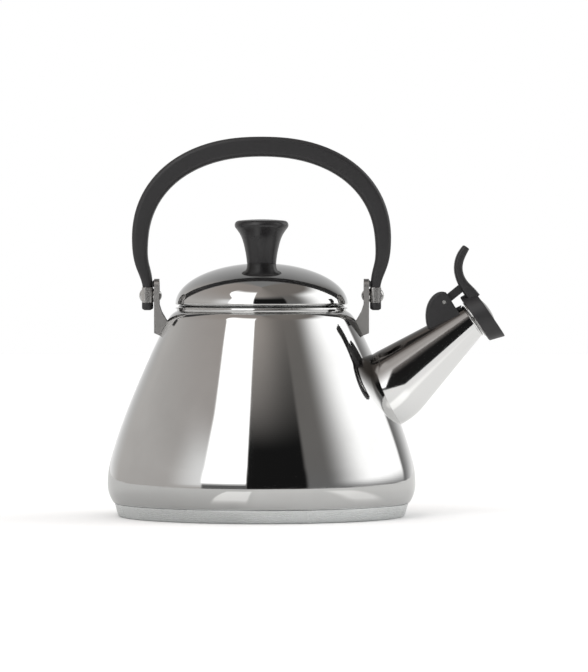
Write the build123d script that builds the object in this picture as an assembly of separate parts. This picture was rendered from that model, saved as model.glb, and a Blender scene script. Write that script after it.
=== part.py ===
"""A stovetop whistling kettle, about 1.6 litres, as an assembly of separate pieces.

Frame: millimetres, +Z up, origin at the centre of the base's underside on the body's axis.
The spout points along +X and the handle swings about an axis parallel to X.
"""

import os
from math import asin, cos, degrees, pi, radians, sin, sqrt, tan

from build123d import *

# ---- driving dimensions -------------------------------------------------------------

SHEET = 0.8  # steel sheet of the body, lid and base cap

BODY_R = 95.0  # widest radius, just above the base
BODY_WIDEST_Z = 20.0
CORNER_R = 20.0  # rounding from the widest ring down to the base seam
SEAM_Z = 8.4
FOOT_R = 88.3  # radius of the base cap where it meets the hob
LOWER_WALL = (93.25, 34.0)  # radius and height where the wall starts to lean steadily
MID_WALL = (76.75, 80.6)
SHOULDER = (57.6, 121.5)
LOWER_HEADING, MID_HEADING, WALL_END = (-0.246, 0.969), (-0.399, 0.917), (-0.465, 0.885)
NECK_FOOT = (52.2, 126.6)  # crease between the shoulder and the neck bead
NECK_TOP = (50.6, 130.2)

LID_RX, LID_RZ, LID_Z0 = 53.3, 25.7, 130.3  # the lid is the top half of this ellipse
LID_RIM_Z, LID_RIM_R = 131.5, 1.1
COLLAR_R, COLLAR_FOOT_Z = 49.2, 120.0

KNOB_TOP_Z, KNOB_R = 183.0, 16.6

PIVOT_Z = 136.0  # the handle's axis, parallel to X
PIVOT_SHANK_R = 2.0
LUG_X, LUG_T, LUG_DEPTH = 66.2, 1.5, 3.2
LUG_HALF_Y, LUG_TOP_Z = 7.0, 146.3
ARM_X, ARM_T, ARM_W = 70.3, 5.8, 12.4  # the grip's end, where the ferrule holds it
ARM_END_Z, FERRULE_Z0, FERRULE_Z1 = 127.0, 131.6, 141.0
FERRULE_WALL = 0.6

SPOUT_AXIS_DEG, SPOUT_HALF_DEG = 39.25, 11.55
SPOUT_APEX = (169.6, 153.0)  # X and Z of the cone's virtual point
SPOUT_BELLY_S, SPOUT_BELLY_R = 108.0, 43.0
SPOUT_END_S = 150.0
SPOUT_WALL = 0.9
MOUTH = (130.65, 120.9)  # X and Z of the mouth's centre
MOUTH_TILT_DEG = 34.5  # the mouth's normal above the horizontal
LIP_R, LIP_T = 10.6, 0.7

CAP_R, CAP_T, CAP_RISE_DEG = 16.1, 9.5, 16.0
CAP_GAP = 0.1  # between the whistle's flange and the spout's lip
FLANGE_T = 0.6
WHISTLE_R, WHISTLE_HOLE_R = 8.5, 1.25
HINGE = (112.4, 132.0)  # X and Z of the whistle's hinge pin
HINGE_PIN_R = 1.2
ARM_DEG = 39.0  # direction of the whistle's arm from the hinge pin
HOUSING_HALF_Y, SLOT_HALF_Y, EYE_HALF_Y = 8.2, 5.0, 2.7

BIG = 400.0


# ---- helpers ------------------------------------------------------------------------


def turned(face):
    """Revolve a profile drawn as (radius, height) about the kettle's axis, its seam at +Y."""
    return Rot(0, 0, 90) * revolve(Plane.XZ * face, Axis.Z)


def ring(r_out, r_in, z0, z1):
    """A plain ring or disc about the kettle's axis."""
    body = Pos(0, 0, (z0 + z1) / 2) * Cylinder(r_out, z1 - z0)
    if r_in <= 0:
        return body
    return body - Pos(0, 0, (z0 + z1) / 2) * Cylinder(r_in, z1 - z0 + 1)


def flat(points):
    """A face in the XZ plane through these (X, Z) corners."""
    return Plane.XZ * make_face(Polyline(*points, close=True))


def slab(face, half_y, mid_y=0.0):
    """An XZ face given a thickness along Y, both ways from mid_y."""
    return Pos(0, mid_y + half_y, 0) * extrude(face, 2 * half_y, dir=(0, -1, 0))


def along(origin, degrees_up):
    """A plane at (X, 0, Z) whose normal leans degrees_up above +X; its x axis is +Y."""
    a = radians(degrees_up)
    return Plane(origin=(origin[0], 0, origin[1]), x_dir=(0, 1, 0), z_dir=(cos(a), 0, sin(a)))


def rod_x(r, x0, x1, z):
    """A round rod parallel to X."""
    return Pos((x0 + x1) / 2, 0, z) * Rot(0, 90, 0) * Cylinder(r, abs(x1 - x0))


def rod_y(r, half_y, at, mid_y=0.0):
    """A round rod parallel to Y through (X, Z)."""
    return Pos(at[0], mid_y, at[1]) * Rot(90, 0, 0) * Cylinder(r, 2 * half_y)


def dome_x(r, rise, x, z, towards):
    """A rivet head: a spherical cap on the plane x, bulging along +X or -X."""
    ball = (r * r + rise * rise) / (2 * rise)
    half_way = (r / 2, rise - ball + sqrt(ball * ball - r * r / 4))
    outline = [ThreePointArc((r, 0), half_way, (0, rise)), Polyline((0, rise), (0, 0), (r, 0))]
    cap = revolve(Plane.XZ * make_face(outline), Axis.Z)
    return Pos(x, 0, z) * Rot(0, 90 * towards, 0) * cap


def mirrored(shape):
    """The same piece at the rear of the kettle."""
    return mirror(shape, about=Plane.YZ)


# ---- body and base ------------------------------------------------------------------


def body_line(inset=0.0):
    """The body's line from the base seam to the top of the neck, moved inwards by inset."""

    def inwards(point, heading):
        across = Vector(-heading[1], heading[0]).normalized() * inset
        return point[0] + across.X, point[1] + across.Y

    start = degrees(asin((BODY_WIDEST_Z - SEAM_Z) / CORNER_R))
    corner = CenterArc((BODY_R - CORNER_R, BODY_WIDEST_Z), CORNER_R - inset, -start, start)
    lower = TangentArc(corner @ 1, inwards(LOWER_WALL, LOWER_HEADING), tangent=corner % 1)
    wall = Spline(
        lower @ 1, inwards(MID_WALL, MID_HEADING), inwards(SHOULDER, WALL_END), tangents=[lower % 1, WALL_END]
    )
    foot = NECK_FOOT[0] - 0.85 * inset, NECK_FOOT[1] - 0.75 * inset
    top = NECK_TOP[0] - inset, NECK_TOP[1]
    shoulder = TangentArc(wall @ 1, foot, tangent=wall % 1)
    bead = ThreePointArc(foot, (top[0] + 1.3, 128.7), top)
    return [corner, lower, wall, shoulder, bead]


def body_envelope():
    """Everything inside the body's outer surface, as one solid."""
    lines = body_line()
    foot, top = lines[0] @ 0, lines[-1] @ 1
    closing = Polyline((top.X, top.Y), (0, top.Y), (0, foot.Y), (foot.X, foot.Y))
    return turned(make_face([*lines, closing]))


def body_shell():
    """The drawn steel body: one wall, with the strainer holes behind the spout."""
    outer, inner = body_line(), body_line(SHEET)
    ends = [Line(outer[0] @ 0, inner[0] @ 0), Line(outer[-1] @ 1, inner[-1] @ 1)]
    return turned(make_face([*outer, *inner, *ends])) - strainer_holes()


def strainer_holes():
    """Nineteen round holes in the wall behind the spout: one, then rings of six and twelve."""
    hole_r, pitch = 2.4, 8.0
    plane = along((77.6, 77.6), 23.0)
    spots = [(0.0, 0.0)]
    for count, reach in ((6, pitch), (12, 2 * pitch)):
        spots += [
            (reach * cos(2 * pi * i / count), reach * sin(2 * pi * i / count)) for i in range(count)
        ]
    return [plane * Pos(x, y, 0) * Cylinder(hole_r, 12) for x, y in spots]


def bottom_plate():
    """The plate that closes the body and carries the sandwich base."""
    r = BODY_R - CORNER_R + sqrt((CORNER_R - SHEET) ** 2 - (BODY_WIDEST_Z - SEAM_Z - SHEET) ** 2)
    return ring(r - 0.3, 0, SEAM_Z, SEAM_Z + SHEET)


def base_line():
    """The base cap's outer line, from its underside up to the seam."""
    return [
        Line((0, 0), (FOOT_R - 1.2, 0)),
        ThreePointArc((FOOT_R - 1.2, 0), (FOOT_R - 0.25, 0.35), (FOOT_R, 1.2)),
        Line((FOOT_R, 1.2), (90.6, SEAM_Z - 0.3)),
    ]


def base_cap():
    """The magnetic steel cap of the base, with two stamped rings in its underside."""
    wire = Wire(Curve() + base_line())
    cap = turned(make_face(offset(wire, SHEET, side=Side.LEFT)))
    for r in (34.0, 62.0):
        cap -= ring(r + 1.0, r - 1.0, -1.0, 0.35)
    return cap


def heat_spreader():
    """The aluminium disc pressed between the base cap and the bottom plate."""
    top_z = SEAM_Z - 0.3
    return turned(make_face(Polyline((0, SHEET), (86.6, SHEET), (89.3, top_z), (0, top_z), close=True)))


# ---- lid ----------------------------------------------------------------------------


def lid_envelope(grow=0.0):
    """The full ellipsoid whose top half is the lid."""
    oval = Ellipse(LID_RX + grow, LID_RZ + grow)
    half = Pos(0, LID_Z0) * oval & Pos(BIG / 2, LID_Z0) * Rectangle(BIG, BIG)
    return turned(half)


def lid_shell():
    """The domed steel lid with its rolled rim and a hole for the knob's screw."""
    skin = Ellipse(LID_RX, LID_RZ) - Ellipse(LID_RX - SHEET, LID_RZ - SHEET)
    keep = Pos(BIG / 2, LID_RIM_Z + BIG / 2) * Rectangle(BIG, BIG)
    wall = Pos(0, LID_Z0) * skin & keep
    rim = Pos(LID_RX - 1.15, LID_RIM_Z) * Circle(LID_RIM_R)
    return turned(wall) + turned(rim) - ring(2.2, 0, 150, 160)


def lid_collar():
    """The locating ring under the lid that drops into the neck."""
    tube = ring(COLLAR_R, COLLAR_R - SHEET, COLLAR_FOOT_Z, 132.4)
    return tube + ring(51.0, COLLAR_R - SHEET, 131.6, 132.4)


def lid_knob():
    """The flared phenolic knob, seated on the dome and bored for its insert."""
    top = ThreePointArc((0, KNOB_TOP_Z), (7.5, KNOB_TOP_Z - 0.2), (14.2, KNOB_TOP_Z - 0.8))
    edge = ThreePointArc((14.2, KNOB_TOP_Z - 0.8), (KNOB_R, 179.8), (15.9, 177.4))
    flare = Spline((15.9, 177.4), (13.2, 173.6), (11.5, 169.4), (10.3, 164.6), (9.4, 159.6), (9.0, 155.0))
    foot = Polyline((9.0, 155.0), (0, 155.0), (0, KNOB_TOP_Z))
    knob = turned(make_face([top, edge, flare, foot]))
    return knob - lid_envelope() - ring(4.0, 0, 150, 172)


def knob_insert():
    """The threaded brass insert moulded into the knob."""
    return ring(4.0, 2.0, 156.2, 172.0)


def knob_washer():
    """The lock washer under the dome."""
    return ring(4.6, 2.1, 154.1, 155.0)


def knob_screw():
    """The pan-head screw that holds the knob from inside the lid."""
    head = Pos(0, 0, 152.95) * Cylinder(3.9, 2.3)
    slot = Pos(0, 0, 151.8) * Box(10, 1.0, 1.6)
    return fillet(head.edges().group_by(Axis.Z)[0], 0.8) - slot + ring(1.95, 0, 154.0, 168.0)


# ---- handle -------------------------------------------------------------------------


def grip_station(turn):
    """Centre, direction and section size of the bail at a turn of 0 to 180 degrees.

    The bail's outer and inner lines are superellipses; the station lies midway between them.
    """
    c, s = cos(radians(turn)), sin(radians(turn))

    def point(rx, rz, z0, n):
        side = 1 if c > 0 else -1
        return Vector(side * rx * abs(c) ** (2 / n), 0, z0 + rz * s ** (2 / n))

    outer, inner = point(79.2, 64.2, 169.6, 2.25), point(70.7, 56.4, 165.3, 2.2)
    return (outer + inner) / 2, outer - inner


def grip_sections(side):
    """The lower part of the bail on one side: centre X, Z, lean from vertical, thickness, width."""
    rows = ((70.3, 141.5, 0.0, 5.9, 12.4), (71.0, 146.5, 13.0, 6.9, 13.0), (73.8, 156.0, 10.0, 8.3, 14.6))
    found = []
    for x, z, lean, thick, wide in rows:
        a = radians(lean)
        plane = Plane(origin=(side * x, 0, z), x_dir=(side * cos(a), 0, -sin(a)), z_dir=(side * sin(a), 0, cos(a)))
        found.append(plane * RectangleRounded(thick, wide, 2.4))
    return found


def bail():
    """The curved part of the grip, lofted through rounded rectangles."""
    sections = grip_sections(1)
    for turn in (0.6, 14, 30, 47, 66, 90, 114, 133, 150, 166, 179.4):
        centre, across = grip_station(turn)
        out = across.normalized()
        wide = 17.0 + 4.0 * sin(radians(turn))
        plane = Plane(origin=centre, x_dir=out, z_dir=out.cross(Vector(0, 1, 0)) * -1)
        sections.append(plane * RectangleRounded(across.length, wide, 2.9))
    for face in reversed(grip_sections(-1)):
        sections.append(face)
    return loft(sections)


def grip_end(side):
    """The straight end of the grip: the neck in the ferrule, the stop below it, and the heel."""
    x = side * ARM_X
    neck = Pos(x, 0, (ARM_END_Z + 141.5) / 2) * extrude(
        RectangleRounded(ARM_T, ARM_W, 2.4), (141.5 - ARM_END_Z) / 2, both=True
    )
    stop_z = (ARM_END_Z + FERRULE_Z0 - 0.05) / 2
    stop = Pos(x, 0, stop_z) * extrude(
        RectangleRounded(6.8, 13.4, 2.8), (FERRULE_Z0 - 0.05 - ARM_END_Z) / 2, both=True
    )
    stop = fillet(stop.edges().group_by(Axis.Z)[0], 1.4)
    inner = LUG_X + 0.2
    heel = flat([(side * a, b) for a, b in ((68.4, 141.2), (inner, 141.2), (inner, 145.6), (68.4, 143.4))])
    hole = rod_x(PIVOT_SHANK_R + 0.03, side * (ARM_X - 6), side * (ARM_X + 6), PIVOT_Z)
    return neck + stop + slab(heel, 4.0), hole


def handle_grip():
    """The moulded bail, from one ferrule over the lid to the other."""
    grip = bail()
    holes = []
    for side in (1, -1):
        end, hole = grip_end(side)
        grip += end
        holes.append(hole)
    return grip - holes


def ferrule():
    """The steel band round the front end of the grip."""
    tall = FERRULE_Z1 - FERRULE_Z0
    outer = extrude(RectangleRounded(ARM_T + 1.2, ARM_W + 1.2, 2.9), tall / 2, both=True)
    inner = extrude(RectangleRounded(ARM_T + 0.06, ARM_W + 0.06, 2.43), tall, both=True)
    band = Pos(ARM_X, 0, (FERRULE_Z0 + FERRULE_Z1) / 2) * (outer - inner)
    return band - rod_x(PIVOT_SHANK_R + 0.03, ARM_X - 6, ARM_X + 6, PIVOT_Z)


def pivot_rivet():
    """The rivet that the handle turns on at the front lug."""
    face_out = ARM_X + ARM_T / 2 + FERRULE_WALL
    face_in = LUG_X - LUG_T - 0.1
    shank = rod_x(PIVOT_SHANK_R, face_in, face_out, PIVOT_Z)
    head = dome_x(3.8, 1.7, face_out, PIVOT_Z, 1)
    collar = rod_x(2.7, LUG_X - LUG_DEPTH, face_in, PIVOT_Z)
    return shank + head + collar + dome_x(3.2, 1.5, LUG_X - LUG_DEPTH, PIVOT_Z, -1)


def pivot_washer():
    """The friction washer between the lug and the ferrule."""
    x0, x1 = LUG_X + 0.05, ARM_X - ARM_T / 2 - FERRULE_WALL
    return rod_x(4.2, x0, x1, PIVOT_Z) - rod_x(PIVOT_SHANK_R + 0.03, x0 - 1, x1 + 1, PIVOT_Z)


def lug():
    """The front handle bracket: a pressed web with cheeks down to the shoulder and a closed top."""
    inner = LUG_X - LUG_DEPTH
    side = flat(
        [(LUG_X, 112.9), (LUG_X, LUG_TOP_Z), (inner, LUG_TOP_Z), (inner, 130.6)]
        + [(61.6, 126.2), (58.6, 121.0), (52.0, 116.0), (58.0, 106.0), (61.8, 111.0)]
    )
    hollow = Plane.YZ * Pos(0, LUG_TOP_Z - LUG_T - 30) * RectangleRounded(2 * LUG_HALF_Y - 2.4, 60, 3.8)
    outline = Plane.YZ * Pos(0, LUG_TOP_Z - 30) * RectangleRounded(2 * LUG_HALF_Y, 60, 5.0)
    bracket = (slab(side, LUG_HALF_Y) & extrude(outline, BIG)) - extrude(hollow, LUG_X - LUG_T)
    hole = rod_x(PIVOT_SHANK_R + 0.06, LUG_X - 10, LUG_X + 5, PIVOT_Z)
    return bracket - hole - body_envelope()


# ---- spout --------------------------------------------------------------------------


def spout_solid(inset=0.0, end=SPOUT_END_S):
    """The spout's cone and belly as one solid of revolution about its own axis.

    Its profile is radius against distance s back from the cone's virtual point.
    """
    a = radians(SPOUT_HALF_DEG)
    start = 20.0
    belly = SPOUT_BELLY_S, SPOUT_BELLY_S * tan(a)
    centre = belly[0] + SPOUT_BELLY_R * sin(a), belly[1] - SPOUT_BELLY_R * cos(a)
    r = SPOUT_BELLY_R - inset
    p0 = (start * tan(a) - inset / cos(a), start)
    p1 = (belly[1] - inset * cos(a), belly[0] + inset * sin(a))
    last = (centre[1] + sqrt(r * r - (end - centre[0]) ** 2), end)
    mid_s = (p1[1] + end) / 2
    middle = (centre[1] + sqrt(r * r - (mid_s - centre[0]) ** 2), mid_s)
    outline = [Line(p0, p1), ThreePointArc(p1, middle, last), Polyline(last, (0, end), (0, start), p0)]
    solid = revolve(Plane.XZ * make_face(outline), Axis.Z)
    back = along(SPOUT_APEX, SPOUT_AXIS_DEG + 180)
    return back * solid


def beyond_mouth(plane_shift=0.0):
    """Everything on the pouring side of the mouth's plane."""
    return along(MOUTH, MOUTH_TILT_DEG) * Pos(0, 0, BIG / 2 + plane_shift) * Box(BIG, BIG, BIG)


def spout_tube():
    """The hollow spout, cut to the body's surface, with a rolled lip at its mouth."""
    tube = spout_solid() - spout_solid(SPOUT_WALL) - beyond_mouth()
    lip = along(MOUTH, MOUTH_TILT_DEG) * Pos(0, 0, -LIP_T / 2 + 0.35) * (
        Cylinder(LIP_R + 0.4, LIP_T) - Cylinder(LIP_R - 1.3, LIP_T + 1)
    )
    whole = tube + lip - body_envelope()
    return largest(whole)


def largest(shape):
    """The biggest solid of a shape that a cut has split."""
    return max(shape.solids(), key=lambda one: one.volume)


# ---- whistle ------------------------------------------------------------------------


def mouth_frame(shift):
    """The mouth's plane moved along its normal by shift."""
    plane = along(MOUTH, MOUTH_TILT_DEG)
    return Plane(origin=plane.origin + plane.z_dir * shift, x_dir=plane.x_dir, z_dir=plane.z_dir)


CAP_BACK = 0.35 + CAP_GAP + FLANGE_T  # the cap's back face, measured from the mouth's plane


def on_mouth(r, start, length):
    """A disc about the mouth's axis, from start to start + length along its normal."""
    return mouth_frame(start + length / 2) * Cylinder(r, length)


def cap_body():
    """The cap: a disc whose side runs less steeply than its faces."""
    a, rise = radians(MOUTH_TILT_DEG), radians(CAP_RISE_DEG)
    disc = mouth_frame(CAP_BACK) * Circle(CAP_R)
    side = Vector(cos(rise), 0, sin(rise))
    return extrude(disc, CAP_T / cos(a - rise), dir=side)


def lever():
    """The curved finger lever that rises from the top of the cap."""
    back = Spline((124.7, 167.3), (120.6, 161.0), (118.6, 154.1), (119.3, 148.5), (121.2, 143.7))
    front = Spline((132.6, 137.2), (127.3, 142.6), (124.3, 147.9), (123.5, 154.0), (124.9, 159.7), (127.4, 164.6))
    foot = Polyline((121.2, 143.7), (126.4, 138.0), (131.0, 133.6), (132.6, 137.2))
    face = Plane.XZ * make_face([back, foot, front, Line((127.4, 164.6), (124.7, 167.3))])
    return slab(face, 7.5)


def hinge_arm():
    """The arm from the lever's root back to the hinge pin, with its eye."""
    a = radians(ARM_DEG)
    reach, half = 15.5, 2.5
    ux, uz = cos(a), sin(a)
    tip = (HINGE[0] + reach * ux, HINGE[1] + reach * uz)
    corners = [
        (HINGE[0] - half * uz, HINGE[1] + half * ux),
        (tip[0] - half * uz, tip[1] + half * ux),
        (tip[0] + half * uz, tip[1] - half * ux),
        (HINGE[0] + half * uz, HINGE[1] - half * ux),
    ]
    bar = slab(flat(corners), EYE_HALF_Y) + rod_y(3.6, EYE_HALF_Y, HINGE)
    return bar - rod_y(HINGE_PIN_R + 0.05, 20, HINGE)


def stop_block():
    """The small block on the cap's back that meets the housing's strip."""
    return slab(flat([(122.6, 135.0), (126.4, 137.0), (129.6, 133.0), (126.5, 131.0)]), EYE_HALF_Y)


def whistle_cap():
    """The moulded whistle cap with its lever and arm in one piece."""
    bore = on_mouth(WHISTLE_R + 0.02, -10, 40)
    slot_a = radians(ARM_DEG)
    cap = cap_body() - bore
    clear = [(HINGE[0] + d * cos(slot_a) + off * sin(slot_a), HINGE[1] + d * sin(slot_a) - off * cos(slot_a))
             for d, off in ((6, 2.5), (17.6, 2.5), (17.6, 3.6), (6, 3.6))]
    cap -= slab(flat(clear), BIG)
    return cap + (lever() - bore) + hinge_arm() + (stop_block() - bore)


def whistle_cup():
    """The rear whistle plate: a flange that shuts on the spout's lip, a tube and a holed plate."""
    start = CAP_BACK - FLANGE_T
    tube = on_mouth(WHISTLE_R, start, CAP_T + FLANGE_T) - on_mouth(WHISTLE_R - 0.6, start - 1, CAP_T + 5)
    flange = on_mouth(12.2, start, FLANGE_T) - on_mouth(WHISTLE_R - 0.6, start - 1, 5)
    plate = on_mouth(WHISTLE_R - 0.3, start + 5.6, 0.6) - on_mouth(WHISTLE_HOLE_R, start, 20)
    return tube + flange + plate


def whistle_disc():
    """The domed front whistle plate, seen on the cap's face."""
    r, rise = WHISTLE_R - 0.1, 1.4
    ball = (r * r + rise * rise) / (2 * rise)
    front = CAP_BACK + CAP_T + 0.05
    outer = mouth_frame(front + rise - ball) * Sphere(ball)
    inner = mouth_frame(front + rise - ball) * Sphere(ball - 0.5)
    keep = mouth_frame(front + BIG / 2) * Box(BIG, BIG, BIG)
    return ((outer - inner) & keep) - on_mouth(WHISTLE_HOLE_R, 0, 40)


def whistle_housing():
    """The D-shaped hinge housing that straddles the top of the spout."""
    back = Spline(
        (113.6, 138.0), (109.0, 137.9), (104.6, 134.4), (101.8, 128.4), (101.4, 120.6), (103.6, 112.5), (108.0, 104.0)
    )
    front = Polyline((108.0, 104.0), (126.0, 108.0), (123.0, 123.0), (113.6, 138.0))
    block = slab(Plane.XZ * make_face([back, front]), HOUSING_HALF_Y)
    block = fillet(block.edges().filter_by(lambda edge: edge.length > 30), 1.6)
    slot = slab(flat([(106.0, 141.0), (104.0, 126.0), (110.0, 125.4), (126.0, 131.5), (122.0, 141.0)]), SLOT_HALF_Y)
    strip = slab(flat([(117.0, 122.0), (122.4, 126.0), (123.2, 130.0), (117.0, 127.0)]), EYE_HALF_Y)
    housing = (block - slot + strip) - rod_y(HINGE_PIN_R, 20, HINGE) - spout_solid(-0.02) - mount_clearance()
    return largest(housing)


def mount_plane(lift):
    """A plane on the spout's top line under the housing's screw, lifted along its normal."""
    up = radians(SPOUT_AXIS_DEG - SPOUT_HALF_DEG)
    s_back = 68.0
    x = SPOUT_APEX[0] - s_back * cos(up) - lift * sin(up)
    z = SPOUT_APEX[1] - s_back * sin(up) + lift * cos(up)
    return Plane(origin=(x, 0, z), x_dir=(cos(up), 0, sin(up)), z_dir=(-sin(up), 0, cos(up)))


def mount_block(grow, top):
    """The welded saddle and its boss, grown on all sides for the housing's pocket."""
    pad = mount_plane(-1.0) * Box(9 + 2 * grow, 8 + 2 * grow, 4.4 + 2 * grow)
    boss = mount_plane(top / 2) * Cylinder(2.6 + grow, top + grow)
    return pad + boss


def mount_clearance():
    """The pocket in the housing for the mount, its screw and the screw's head."""
    hole = mount_plane(4.0) * Cylinder(1.6, 12)
    seat = mount_plane(4.6 + 10) * Cylinder(2.6, 20)
    return mount_block(0.05, 2.6) + hole + seat


def whistle_mount():
    """The steel saddle welded on the spout that the housing is screwed to."""
    block = mount_block(0.0, 2.6) - mount_plane(0) * Cylinder(1.25, 20)
    return block - spout_solid(-0.02)


def housing_screw():
    """The small pan-head screw down through the housing into the mount's boss."""
    head = fillet((mount_plane(5.35) * Cylinder(2.4, 1.5)).edges(), 0.4)
    slot = mount_plane(6.0) * Box(6, 0.7, 0.8)
    return head - slot + mount_plane(3.0) * Cylinder(1.2, 4.0)


def whistle_pin():
    """The hinge pin, set in the housing."""
    return rod_y(HINGE_PIN_R, HOUSING_HALF_Y + 0.15, HINGE)


def whistle_spring():
    """The torsion spring beside the arm's eye, with one leg on the housing and one on the arm."""
    wire_r, coil_r, pitch, turns = 0.3, 2.1, 0.65, 1.9
    coil = Helix(pitch=pitch, height=pitch * turns, radius=coil_r)
    start = coil @ 0
    profile = Plane(origin=start, z_dir=coil % 0) * Circle(wire_r)
    wound = sweep(profile, path=coil)
    legs = []
    for end, sense in ((coil @ 0, -1), (coil @ 1, 1)):
        leg = Plane(origin=end, z_dir=(coil % (0 if sense < 0 else 1)) * sense) * Circle(wire_r)
        legs.append(extrude(leg, 3.6))
    spring = wound + legs
    lay = Pos(HINGE[0], EYE_HALF_Y + 0.15 + wire_r, HINGE[1]) * Rot(-90, 0, 0) * Rot(0, 0, 150)
    return lay * spring


# ---- write --------------------------------------------------------------------------

PARTS = {
    "body_shell": body_shell,
    "bottom_plate": bottom_plate,
    "heat_spreader": heat_spreader,
    "base_cap": base_cap,
    "spout_tube": spout_tube,
    "lug_front": lug,
    "lug_rear": lambda: mirrored(lug()),
    "whistle_mount": whistle_mount,
    "whistle_housing": whistle_housing,
    "housing_screw": housing_screw,
    "whistle_pin": whistle_pin,
    "whistle_spring": whistle_spring,
    "whistle_cap": whistle_cap,
    "whistle_cup": whistle_cup,
    "whistle_disc": whistle_disc,
    "lid_shell": lid_shell,
    "lid_collar": lid_collar,
    "lid_knob": lid_knob,
    "knob_insert": knob_insert,
    "knob_washer": knob_washer,
    "knob_screw": knob_screw,
    "handle_grip": handle_grip,
    "ferrule_front": ferrule,
    "ferrule_rear": lambda: mirrored(ferrule()),
    "pivot_rivet_front": pivot_rivet,
    "pivot_rivet_rear": lambda: mirrored(pivot_rivet()),
    "pivot_washer_front": pivot_washer,
    "pivot_washer_rear": lambda: mirrored(pivot_washer()),
}


def main():
    os.makedirs("parts", exist_ok=True)
    for name, make in PARTS.items():
        shape = make()
        solids = shape.solids()
        export_step(Compound(children=list(solids)) if len(solids) > 1 else solids[0], f"parts/{name}.step")
        print(name, len(solids))


main()
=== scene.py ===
import math

import bmesh
import bpy
import numpy as np
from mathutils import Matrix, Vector


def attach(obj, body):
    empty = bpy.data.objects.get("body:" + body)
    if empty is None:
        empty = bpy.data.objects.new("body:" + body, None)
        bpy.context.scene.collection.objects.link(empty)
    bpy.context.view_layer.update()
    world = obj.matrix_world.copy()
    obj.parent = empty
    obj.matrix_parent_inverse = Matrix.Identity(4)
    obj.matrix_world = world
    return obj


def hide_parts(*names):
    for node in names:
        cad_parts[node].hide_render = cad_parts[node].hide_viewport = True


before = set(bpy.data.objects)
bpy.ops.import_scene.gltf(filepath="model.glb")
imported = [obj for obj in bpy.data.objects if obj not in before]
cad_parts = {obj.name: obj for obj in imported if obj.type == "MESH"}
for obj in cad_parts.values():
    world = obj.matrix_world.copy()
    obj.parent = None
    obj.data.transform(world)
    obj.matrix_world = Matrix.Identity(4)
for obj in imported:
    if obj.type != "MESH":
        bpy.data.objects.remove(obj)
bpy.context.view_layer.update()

mm = 0.001
fullTurn = 6.2832
degreesPerRadian = 57.2958


# Shader writing: a socket in a wrapper, so that an expression builds its Math nodes.

class Wire:
    def __init__(self, tree, socket):
        self.tree, self.socket = tree, socket

    def math(self, operation, a, b=None, clamp=False):
        node = self.tree.nodes.new("ShaderNodeMath")
        node.operation, node.use_clamp = operation, clamp
        for slot, value in enumerate((a, b)):
            if isinstance(value, Wire):
                self.tree.links.new(value.socket, node.inputs[slot])
            elif value is not None:
                node.inputs[slot].default_value = value
        return Wire(self.tree, node.outputs[0])

    def __add__(self, other): return self.math("ADD", self, other)
    def __radd__(self, other): return self.math("ADD", other, self)
    def __sub__(self, other): return self.math("SUBTRACT", self, other)
    def __rsub__(self, other): return self.math("SUBTRACT", other, self)
    def __mul__(self, other): return self.math("MULTIPLY", self, other)
    def __rmul__(self, other): return self.math("MULTIPLY", other, self)
    def __truediv__(self, other): return self.math("DIVIDE", self, other)
    def __pow__(self, other): return self.math("POWER", self, other)

    def highest(self, other): return self.math("MAXIMUM", self, other)
    def clamped(self): return self.math("ADD", self, 0.0, clamp=True)
    def root(self): return self.math("SQRT", self)
    def sine(self): return self.math("SINE", self)
    def size(self): return self.math("ABSOLUTE", self)


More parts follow.
